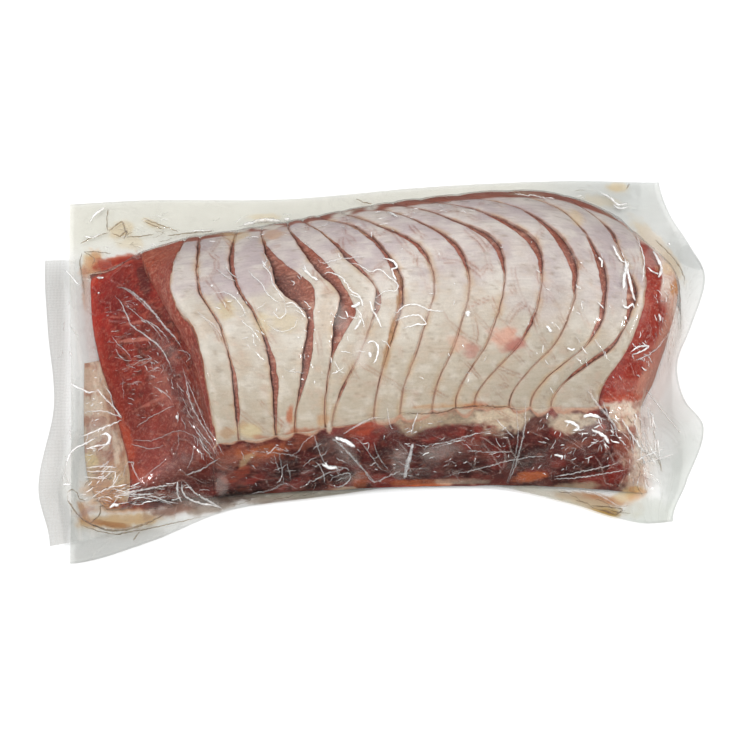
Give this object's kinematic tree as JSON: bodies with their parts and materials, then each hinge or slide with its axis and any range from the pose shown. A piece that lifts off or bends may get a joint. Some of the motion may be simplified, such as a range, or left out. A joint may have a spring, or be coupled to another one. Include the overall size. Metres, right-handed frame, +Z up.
{
  "type": "vacuum pack of sliced pork",
  "caption": "Clear vacuum pack of sliced pork loin lying fat side up, film drawn tight over the fanned slices, with flat film margins and a sealed end.",
  "frame": {"origin": "the middle of the bounding box, at the flat underside that rests on the floor", "axes": "+X along the loin, towards the end that fans out; +Y towards the back of the pack; +Z up, out of the fat cap"},
  "size_m": [0.308, 0.1908, 0.0711],
  "materials": {
    "pack": "wet gloss film over meat",
    "film": "clear creased plastic film",
    "seal": "clear film, welded in fine diamonds",
    "fat": "moist fat and silverskin",
    "lean": "moist marbled meat",
    "juice": "amber meat juice"
  },
  "bodies": {
    "root": {"pork_pack": "pack"}
  },
  "joints": []
}
